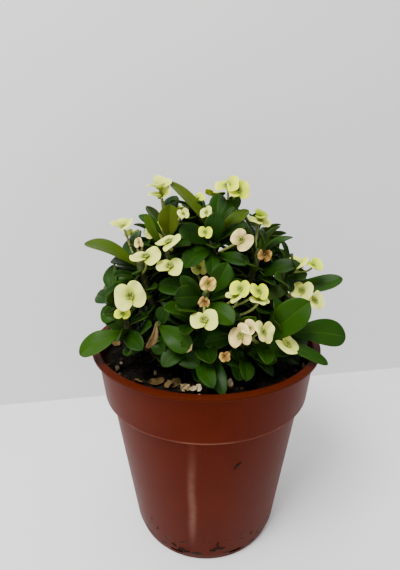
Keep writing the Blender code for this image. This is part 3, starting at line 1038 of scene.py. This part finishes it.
def bract_mesh(turn, radius, draw, dish, crumple, lime, blush, faded, opened=1.0):
    """One bract of a pair, dished and ruffled, in the head's own frame."""
    mesh = bract_shape.data.copy()
    places = np.array([vertex.co for vertex in mesh.vertices], dtype=float)
    reach = np.linalg.norm(places[:, :2] - np.array(bract_pole.xy), axis=1)
    reach = reach / reach.max()
    angle = np.arctan2(places[:, 1], places[:, 0])
    notch = np.exp(-((np.abs(angle) - math.pi) ** 2) / 0.10) * np.linalg.norm(places[:, :2], axis=1) ** 4
    dent = draw.uniform(0.03, 0.14) * np.exp(-(angle**2) / 0.12) * np.linalg.norm(places[:, :2], axis=1) ** 4
    x = (places[:, 0] + 0.30 * notch - dent) * 0.56 + 0.40
    y = places[:, 1] * 0.80
    phase = draw.uniform(*ANY_TURN)
    ruffle = np.sin(angle * 3 + phase) * 0.08 + np.sin(angle * 5 + 2 * phase) * 0.04
    z = dish * (1.5 * reach - 0.75 * reach**2) + ruffle * reach**2 + y * 0.18
    z = z + crumple * np.sin(places[:, 0] * 4 + phase) * np.cos(places[:, 1] * 5 + phase) * reach
    pulled = 1 - 0.35 * crumple * reach
    flat = np.stack([x * pulled * radius, y * pulled * radius, z * radius], axis=1)
    mesh.vertices.foreach_set("co", flat.astype(np.float32).ravel())
    mesh.transform(Matrix.Rotation(turn, 4, "Z"))
    mark(mesh, "reach", reach * opened)
    for word, amount in (("lime", lime), ("blush", blush), ("faded", faded)):
        mark(mesh, word, [amount] * len(places))
    return mesh


def flower_head(name, centre, front, radius, start, look, turned=0.0):
    """A whole head: two bracts, the cup with its glands, and the stalk to the stem."""
    heads.append((centre, front, radius))
    draw = random.Random(name)
    dish, *rest = look
    aim = Matrix.Translation(centre) @ front.to_track_quat("Z", "Y").to_matrix().to_4x4()
    roll = draw.uniform(-0.35, 0.35) + turned
    bracts = []
    for turn in (roll, roll + math.pi):
        mesh = bract_mesh(turn, radius, draw, dish * draw.uniform(0.8, 1.2), *rest)
        mesh.transform(aim)
        mesh.materials.append(bract_finish.material)
        bracts.append(mesh)
    petals = join(name + "_bracts", bracts, [])
    solid = petals.modifiers.new("thickness", "SOLIDIFY")
    solid.thickness = BRACT_THICKNESS
    subdivide(petals, 2)
    apply_modifiers(petals)

    small = min(1.0, radius / (7 * MM))
    cup = cup_shape.data.copy()
    cup.transform(aim @ Matrix.Diagonal((CUP_RADIUS * small, CUP_RADIUS * small, 1.5 * MM * small, 1)))
    cup.materials.append(cup_finish.material)
    parts = [cup]
    for i in range(5):
        gland = gland_shape.data.copy()
        swing = Matrix.Rotation(i * 2 * math.pi / 5 + roll, 4, "Z")
        out = Matrix.Translation((1.35 * CUP_RADIUS * small, 0, 1.4 * MM * small))
        size = Matrix.Diagonal((0.75 * MM * small, 0.75 * MM * small, 0.75 * MM * small, 1))
        gland.transform(aim @ swing @ out @ size)
        gland.materials.append(cup_finish.material)
        parts.append(gland)
    neck = centre - front * 1.2 * MM
    bend = centre - front * 0.45 * (centre - start).length
    points, shares = bow(start, bend, neck, 5)
    stalk = tube(name + "_stalk", points, [STALK_RADIUS * (1.25 - 0.25 * t) for t in shares], 2)
    stalk.data.materials.append(stalk_finish.material)
    middle = join(name + "_cup", parts, [])
    choose(petals, stalk, middle)
    bpy.ops.object.join()
    petals.name = name + "_head"
    petals.data.name = name + "_head"
    bpy.ops.object.shade_smooth()
    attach(petals, "root")
    return petals


def head_frame(name):
    """Centre, facing, radius and stalk end of a CAD flower head, from its corners.

    The head's corners lie in flat rings, so it faces the way that puts the most pairs of
    corners at one height. The widest ring is the rim.
    """
    points = node_points(name)
    draw = random.Random(name)
    best, front = 0, None
    for _ in range(1500):
        first, second, third = (points[draw.randrange(len(points))] for _ in range(3))
        way = np.cross(second - first, third - first)
        if np.linalg.norm(way) < 1e-6:
            continue
        way = way / np.linalg.norm(way)
        heights = np.sort(points @ way)
        level = (np.diff(heights) < 0.01 * MM).sum() + (heights[3:] - heights[:-3] < 0.02 * MM).sum()
        if level > best:
            best, front = level, way
    order = np.argsort(points @ front)
    steps = np.diff((points @ front)[order])
    rings = np.split(points[order], np.nonzero(steps > 0.015 * MM)[0] + 1)
    rings = [ring for ring in rings if 10 <= len(ring) <= 14]
    spans = [np.linalg.norm(ring - ring.mean(axis=0), axis=1).max() for ring in rings]
    radius = max(spans)
    rims = [ring for ring, span in zip(rings, spans) if span > 0.98 * radius]
    middle = np.mean([ring.mean(axis=0) for ring in rims], axis=0)
    far = points[np.argsort(np.linalg.norm(points - middle, axis=1))[-8:]]
    start = far.mean(axis=0)
    if (start - middle) @ front > 0:
        front = -front
    centre = middle - front * BRACT_DISH * radius
    return Vector(centre), Vector(front), radius, Vector(start)


# How a head looks: how deep its dish is, how crumpled, lime, pink and faded it is, and,
# where that isn't all the way, how far its bracts have opened, which only moves their
# colours towards the darker ones near the throat.
FRESH = (0.30, 0.02, 0.0, 0.0, 0.0)
RUFFLED = (0.32, 0.12, 0.0, 0.0, 0.0)
FLAT = (0.14, 0.02, 0.1, 0.0, 0.0)
LIME = (0.32, 0.02, 0.95, 0.0, 0.0)
DEEP_CUP = (0.95, 0.05, 0.25, 0.0, 0.0)
OPEN_CUP = (0.62, 0.05, 0.3, 0.0, 0.0)
GREEN_CUP = (0.55, 0.05, 1.0, 0.0, 0.0)
BLUSHED = (0.34, 0.14, 0.0, 0.9, 0.0)
PALE_BLUSH = (0.40, 0.12, 0.1, 0.35, 0.0)
WITHERED = (0.60, 0.35, 0.0, 0.5, 0.9)
SPENT = (0.70, 0.35, 0.0, 0.5, 1.0, 0.55)
BUD = (0.90, 0.05, 1.0, 0.0, 0.0, 0.36)

# What grows at each CAD head: how far to the right of it and above it each real head is,
# the real head's breadth, its facing and its look, and how far it is turned where that
# matters. Some stand in pairs.
HEADS = {
    "flower_centre_1": [
        ((1.6, 0.2), 12.5, (0.25, -0.8, 0.6), LIME, -0.2),
        ((-3.2, 2.0), 13.0, (-0.2, -0.5, 0.8), LIME, 0.3),
    ],
    "flower_centre_2": [((0.3, -0.1), 11.5, (0.1, -1, 0.35), BLUSHED, -0.8)],
    "flower_left_top_1": [
        ((0.2, 1.4), 13.0, (-0.1, -0.25, 1), DEEP_CUP, 1.5),
        ((0.8, -2.6), 12.5, (-0.35, -0.35, 1), DEEP_CUP, 1.2),
    ],
    "flower_left_top_2": [((0.2, -0.4), 13.0, (0.05, -0.45, 0.9), FLAT)],
    "flower_left_1": [((0.8, 0.1), 12.0, (-0.2, -0.4, 1), OPEN_CUP)],
    "flower_left_2": [
        ((2.4, 1.1), 15.5, (-0.05, -0.30, 1), FLAT, 0.1),
    ],
    "flower_left_low_1": [((1.0, 0.7), 16.0, (-0.1, -1, 0.3), RUFFLED, 0.3)],
    "flower_front_1": [((0.3, 0.2), 8.5, (0, -1, 0.3), WITHERED)],
    "flower_front_2": [((1.5, 0.6), 13.0, (0, -0.5, 0.9), FLAT)],
    "flower_front_3": [
        ((-3.8, 2.8), 9.5, (-0.2, -0.75, 0.65), LIME),
        ((4.0, 1.5), 9.5, (0.3, -0.65, 0.7), LIME),
        ((-5.6, -0.8), 9.0, (-0.4, -0.35, 1), FRESH),
        ((4.6, -2.6), 10.0, (0.3, -0.30, 1), FRESH),
    ],
    "flower_right_top_1": [
        ((-1.2, -1.8), 12.5, (0.2, -0.4, 1), FLAT),
        ((-1.0, -0.4), 8.0, (0.15, -0.5, 0.9), BUD, 1.5),
    ],
    "flower_right_1": [
        ((-4.0, -5.4), 11.0, (-0.2, -0.3, 1), OPEN_CUP),
        ((3.1, -6.1), 10.0, (0.3, -0.5, 0.9), GREEN_CUP),
    ],
    "flower_right_2": [
        ((-6.2, 6.6), 12.0, (-0.3, -0.7, 0.7), FRESH),
        ((0.0, 1.4), 12.0, (0.4, -0.7, 0.6), FRESH),
    ],
    "flower_right_low_1": [
        ((-5.2, -0.6), 12.5, (-0.6, -0.7, 0.45), BLUSHED, 0.7),
        ((3.4, 1.0), 12.5, (0.6, -0.65, 0.5), PALE_BLUSH, -0.4),
        ((-1.8, 2.6), 8.5, (-0.1, -0.55, 0.85), BLUSHED, 1.3),
    ],
}
for name in nodes_called("flower_"):
    centre, front, radius, start = head_frame(name)
    rows = HEADS.get(name, [((0, 0), radius * 2 / MM, front, FRESH)])
    for word, (offset, breadth, face, look, *turned) in zip("abcd", rows):
        spot = centre + Vector((offset[0], 0, offset[1])) * MM
        face = Vector(face).normalized()
        head = flower_head(f"{name}_{word}", spot, face, 0.5 * breadth * MM, start, look, *turned)
        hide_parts(name)

# Smaller heads, half hidden or on the far side, each with its middle in millimetres from
# the middle of the soil, breadth, facing and look.
SMALL_HEADS = [
    ((-5, 3, 83), 10, (0.1, -0.2, 1), LIME),
    ((-25, -1, 68), 12, (-0.3, -1, 0.3), FRESH),
    ((-17, -22, 66), 13, (-0.35, -0.3, 0.9), FLAT),
    ((-4, -17, 53), 9, (0.5, -1, 0.5), FRESH),
    ((-1, -19, 70), 7, (0.2, -1, 0.6), LIME),
    ((0, -11, 78), 7, (-0.5, -0.8, 0.5), FRESH),
    ((-11, -16, 78), 6, (0.3, -0.8, 0.5), FRESH),
    ((-38, -31, 35), 8, (-0.1, -0.6, 0.9), LIME),
    ((37, -30, 19), 14, (0.5, -0.35, 0.9), FRESH),
    ((7, -45, 21), 6, (0.3, -1, 0.6), SPENT),
    ((28, -12, 58), 8, (-0.3, -1, 0.3), SPENT),
    ((-1, -38, 44), 6, (-0.3, -1, -0.1), SPENT),
    ((-32, -11, 64), 6, (-0.6, -1, 0.1), BLUSHED),
    ((18, 34, 68), 11, (0.2, 0.5, 1), FRESH),
    ((40, 32, 55), 11, (0.5, 0.5, 1), LIME),
    ((-43, 34, 60), 10, (-0.5, 0.6, 1), FRESH),
    ((0, 47, 45), 11, (0, 1, 0.6), FRESH),
    ((51, 26, 42), 10, (1, 0.4, 0.6), FRESH),
    ((-49, 27, 42), 10, (-1, 0.4, 0.6), FRESH),
    ((4, 14, 84), 10, (0.1, 0.4, 1), LIME),
]
for number, (centre, breadth, face, look) in enumerate(SMALL_HEADS):
    centre = over_soil(centre)
    start = nearest_on_stems(centre, centre.z - 4 * MM)
    flower_head(f"small_head_{number}", centre, Vector(face).normalized(), 0.5 * breadth * MM, start, look)


# ---- Inner leaves ---------------------------------------------------------------
# The rest of the crown's leaves, in the plant's own spiral up each stem, so that it is
# as full at the back and sides as at the front. They keep out of the heads' way.
GOLDEN_TURN = math.radians(137.5)
LEAVES_PER_STEM = 38
CROWN_WIDTH = 60 * MM
CROWN_TOP = 90 * MM
CROWN_FOOT = 47 * MM
CROWN_SHOULDER = 20 * MM
LOWEST_LEAF = SOIL_TOP + 4 * MM
LEAF_SPACING = 5.3 * MM
INNER_LENGTHS = (16, 26)
INNER_WIDTHS = (0.36, 0.46)
INNER_TRIES = 12
CLEAR_AHEAD = 24 * MM


def in_crown(point, share=1.0):
    """Whether a point is inside the crown's dome, and clear of the rim."""
    rise = point.z - SOIL_TOP - CROWN_SHOULDER
    reach = point.xy.length
    if rise < 0:
        return reach < CROWN_FOOT + max(0.0, point.z - RIM_TOP) and point.z > LOWEST_LEAF
    dome = (reach / CROWN_WIDTH) ** 2 + (rise / (CROWN_TOP - CROWN_SHOULDER)) ** 2
    return dome < share**2


def in_the_way(point):
    """Whether a point is right before a head or a shown leaf, or touches a head."""
    for centre, front, radius in heads:
        gap = point - centre
        ahead = gap.dot(front)
        beside = (gap - front * ahead).length
        if -2 * MM < ahead < CLEAR_AHEAD and beside < radius + 1.5 * MM:
            return True
        if gap.length < radius + 2 * MM:
            return True
    for spot, front, radius in kept_clear:
        gap = point - spot
        ahead = gap.dot(front)
        if 1 * MM < ahead < CLEAR_AHEAD and (gap - front * ahead).length < radius:
            return True
    return False


for stem_name, (points, radii) in stem_lines.items():
    if stem_name.startswith("shoot_front"):
        continue
    draw = random.Random("leaves " + stem_name)
    above = [i for i, point in enumerate(points) if point.z > LOWEST_LEAF]
    grown = []
    for i in range(LEAVES_PER_STEM):
        share = i / (LEAVES_PER_STEM - 1)
        place = above[0] + share * (len(points) - 1 - above[0])
        lower = min(int(place), len(points) - 2)
        axis = (points[lower + 1] - points[lower]).normalized()
        spot = points[lower].lerp(points[lower + 1], place - lower)
        for _ in range(INNER_TRIES):
            turn = i * GOLDEN_TURN + draw.uniform(-0.5, 0.5)
            side = Matrix.Rotation(turn, 3, axis) @ axis.orthogonal().normalized()
            lean = math.radians(draw.uniform(5, 30) + 35 * share**3)
            way = (side * math.cos(lean) + axis * math.sin(lean)).normalized()
            length = draw.uniform(*INNER_LENGTHS) * MM * (1 - 0.2 * share)
            start = spot + side * radii[lower] * 0.8
            tip = start + way * length
            middle = start.lerp(tip, 0.6)
            close = any((middle - other).length < LEAF_SPACING for other in leaf_middles)
            if close or not in_crown(tip, 0.97) or in_the_way(tip) or in_the_way(middle):
                continue
            leaf_middles.append(middle)
            face = outward_face(tip, draw)
            tone = draw.uniform(0.0, 0.55)
            width = length * draw.uniform(*INNER_WIDTHS)
            grown.append(bent_leaf(start, tip, face, width, draw, tone=tone))
            break
    if grown:
        inner = join("inner_leaves_" + stem_name, grown, [])
        thicken_leaves(inner, smoothed=False)
        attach(inner, "root")


# ---- Fallen bracts and old leaves -----------------------------------------------
# Spent bracts and dead leaves that have dropped on the soil, curled and dried from cream
# to brown, and two that still hang in the crown.
dead = Finish("dried_litter", roughness=0.75, specular_ior_level=0.15)
dead_tone = dead.attribute("tone")
dead_colour = dead_tone.ramp(
    (0.0, (0.030, 0.012, 0.005)),
    (0.3, (0.075, 0.046, 0.012)),
    (0.6, (0.22, 0.14, 0.055)),
    (1.0, (0.56, 0.48, 0.28)),
)
dead_spots = dead.place.noise(420.0, 3.0)
dead.feed("Base Color", (dead_spots.step(0.5, 0.7) * 0.5).mix(dead_colour, (0.06, 0.032, 0.012)))
dead.bump(dead_spots, 0.0006)
# Each has its place, length, width, turn and how pale it is, in millimetres.
LITTER_DISH = (0.25, 0.6)
LITTER_CRUMPLE = 0.16
LITTER_LIFT = 0.8 * MM
FALLEN = [
    ((-34.5, -32.6), 5.5, 4.5, 0.3, 0.42),
    ((-25.6, -26.0), 3.5, 2.5, 1.2, 0.75),
    ((-22.0, -33.5), 7.0, 5.5, 2.2, 0.28),
    ((-17.0, -33.0), 6.5, 5.0, -0.4, 0.33),
    ((-17.5, -38.0), 5.0, 3.5, 0.9, 0.38),
    ((-12.0, -40.0), 6.0, 2.6, 0.5, 0.70),
    ((-8.0, -40.0), 5.0, 2.2, -0.3, 0.80),
    ((-4.5, -39.2), 4.0, 2.4, 0.2, 1.0),
    ((10.0, -36.5), 4.5, 2.4, 1.4, 0.85),
    ((11.5, -38.0), 4.5, 3.0, 2.0, 0.12),
    ((-46.0, -18.0), 2.5, 2.0, 0.5, 0.9),
    ((-44.9, -13.0), 2.0, 1.6, 0.1, 0.8),
    ((49.0, -15.5), 3.5, 2.0, 0.7, 0.9),
    ((46.5, -11.0), 2.5, 2.0, 2.7, 0.7),
    ((30.0, 38.0), 6.0, 4.0, 2.7, 0.5),
    ((-28.0, 40.0), 7.0, 4.5, 1.0, 0.35),
    ((-50.0, 8.0), 6.0, 3.5, 1.9, 0.6),
    ((51.0, 10.0), 6.0, 3.5, 0.4, 0.3),
]
# Each has its tip, its stalk end, width and tone, from the middle of the soil.
HANGING = [
    ((-27, -37, 21), (-23, -33, 32), 4.5, 0.52),
    ((-32, -10, 52), (-34, -8, 61), 4, 0.72),
]
litter = []
for number, ((x, y), length, width, turn, tone) in enumerate(FALLEN):
    draw = random.Random(number + 70)
    x, y = x * MM, y * MM
    scrap = bract_mesh(0.0, length * 0.85 * MM, draw, draw.uniform(*LITTER_DISH), LITTER_CRUMPLE, 0, 0, 0)
    tilt = Matrix.Rotation(draw.uniform(-0.9, 0.9), 4, "X")
    tilt = tilt @ Matrix.Rotation(draw.uniform(-0.7, 0.7), 4, "Y")
    narrow = Matrix.Diagonal((1, width / length, 1, 1))
    spot = Vector((x, y, soil_height(x, y) + LITTER_LIFT))
    scrap.transform(Matrix.Translation(spot) @ Matrix.Rotation(turn, 4, "Z") @ tilt @ narrow)
    mark(scrap, "tone", [tone] * len(scrap.vertices))
    litter.append(scrap)
for number, (tip, base, width, tone) in enumerate(HANGING):
    draw = random.Random(number + 7)
    litter.append(bent_leaf(over_soil(base), over_soil(tip), (0.6, -1, 0.1), width * MM, draw, 0.25, tone))
fallen = join("fallen_bracts_and_leaves", litter, [])
thicken_leaves(fallen, thickness=BRACT_THICKNESS)
fallen.data.materials.clear()
fallen.data.materials.append(dead.material)
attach(fallen, "root")

# Crumbs of wet soil stuck to the front of the pot, each with its place to the right and
# above the ground, its size and its turn.
bpy.context.view_layer.update()
STUCK = [
    ((14.3, 67.4), 4.4, 0.6),
    ((13.2, 65.8), 2.6, 0.9),
    ((5.5, 9.5), 4.2, 0.2),
    ((3.2, 8.0), 3.6, -0.3),
    ((8.5, 8.6), 3.2, 0.4),
    ((5.9, 12.5), 3.6, 1.4),
    ((-13.0, 6.0), 4.6, 0.1),
    ((-17.0, 8.0), 3.6, -0.5),
    ((-10.0, 5.5), 3.8, 0.2),
    ((-26.0, 14.0), 2.8, 1.2),
    ((-29.0, 19.0), 2.2, 1.0),
    ((24.0, 12.5), 2.4, 0.7),
]
STUCK_BREADTH = 0.32
STUCK_THICKNESS = 0.2
stuck = []
for (x, z), size, turn in STUCK:
    hit, spot, normal, face = pot.ray_cast(Vector((x * MM, -0.2, z * MM)), Vector((0, 1, 0)))
    mesh = stone_shape.data.copy()
    aim = normal.to_track_quat("Z", "Y").to_matrix().to_4x4() @ Matrix.Rotation(turn, 4, "Z")
    size = size * MM
    flat = Matrix.Diagonal((size, size * STUCK_BREADTH, size * STUCK_THICKNESS, 1))
    mesh.transform(Matrix.Translation(spot) @ aim @ flat)
    mark(mesh, "tone", [0.3] * len(mesh.vertices))
    stuck.append(mesh)
stuck_soil = join("soil_on_the_pot", stuck, [crumb_finish.material])
bpy.ops.object.shade_smooth()
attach(stuck_soil, "root")


# ---- Floor, wall, light and camera ----------------------------------------------
# A plain pale floor and wall, not part of the plant. The wall is clear from its back, so
# that it hides nothing from behind. A broad soft light hangs above, in front and left.
CAMERA_ABOVE_RIM = 90.95 * MM
CAMERA_AWAY = 199.2 * MM
CAMERA_ASIDE = -3.2 * MM
CAMERA_TILT = math.radians(17.18)
CAMERA_LENS = 25.26
STAGE_SIZE = 3.0
WALL_PLACE = (12.8 * MM, 133.4 * MM, 0.7)
WALL_TURN = math.radians(10)
ROOM_LIGHT = 0.82
WINDOW_PLACE = Vector((-0.30, -0.42, 0.95))
WINDOW_AIM = Vector((0, 0, 0.10))
WINDOW_SIZE = 0.42
WINDOW_POWER = 14.0

paper = Finish("pale_floor", roughness=0.75)
paper.cloud(30.0, (0.88, 0.88, 0.88), (0.91, 0.91, 0.91), 2.0)
deselect()
bpy.ops.mesh.primitive_plane_add(size=STAGE_SIZE)
floor = bpy.context.object
floor.name = "floor"
floor.data.materials.append(paper.material)

plaster = Finish("pale_wall", roughness=0.9)
plaster.cloud(3.0, (0.73, 0.73, 0.73), (0.75, 0.75, 0.75), 2.0)
clear = plaster.tree.nodes.new("ShaderNodeBsdfTransparent")
sides = plaster.tree.nodes.new("ShaderNodeNewGeometry")
choice = plaster.tree.nodes.new("ShaderNodeMixShader")
plaster.tree.links.new(sides.outputs["Backfacing"], choice.inputs[0])
plaster.tree.links.new(plaster.shader.outputs[0], choice.inputs[1])
plaster.tree.links.new(clear.outputs[0], choice.inputs[2])
plaster.tree.links.new(choice.outputs[0], plaster.tree.nodes["Material Output"].inputs["Surface"])
deselect()
bpy.ops.mesh.primitive_plane_add(
    size=STAGE_SIZE, location=WALL_PLACE, rotation=(math.radians(90), 0, WALL_TURN)
)
wall = bpy.context.object
wall.name = "wall"
wall.data.materials.append(plaster.material)

world = bpy.data.worlds.new("room")
world.use_nodes = True
room = world.node_tree.nodes["Background"]
room.inputs["Color"].default_value = (1.0, 1.0, 1.0, 1.0)
room.inputs["Strength"].default_value = ROOM_LIGHT
bpy.context.scene.world = world

lamp = bpy.data.lights.new("window", "AREA")
lamp.size = WINDOW_SIZE
lamp.energy = WINDOW_POWER
window = put("window", lamp)
window.location = WINDOW_PLACE
window.rotation_euler = (WINDOW_AIM - WINDOW_PLACE).to_track_quat("-Z", "Y").to_euler()

lens = bpy.data.cameras.new("view")
lens.lens = CAMERA_LENS
lens.sensor_width = 36.0
lens.clip_start = 0.01
camera = put("view", lens)
camera.location = (CAMERA_ASIDE, -CAMERA_AWAY, RIM_TOP + CAMERA_ABOVE_RIM)
camera.rotation_euler = (math.radians(90) - CAMERA_TILT, 0, 0)
bpy.context.scene.camera = camera

for helper in (leaf_shape, bract_shape, cup_shape, gland_shape, stone_shape):
    bpy.data.objects.remove(helper)
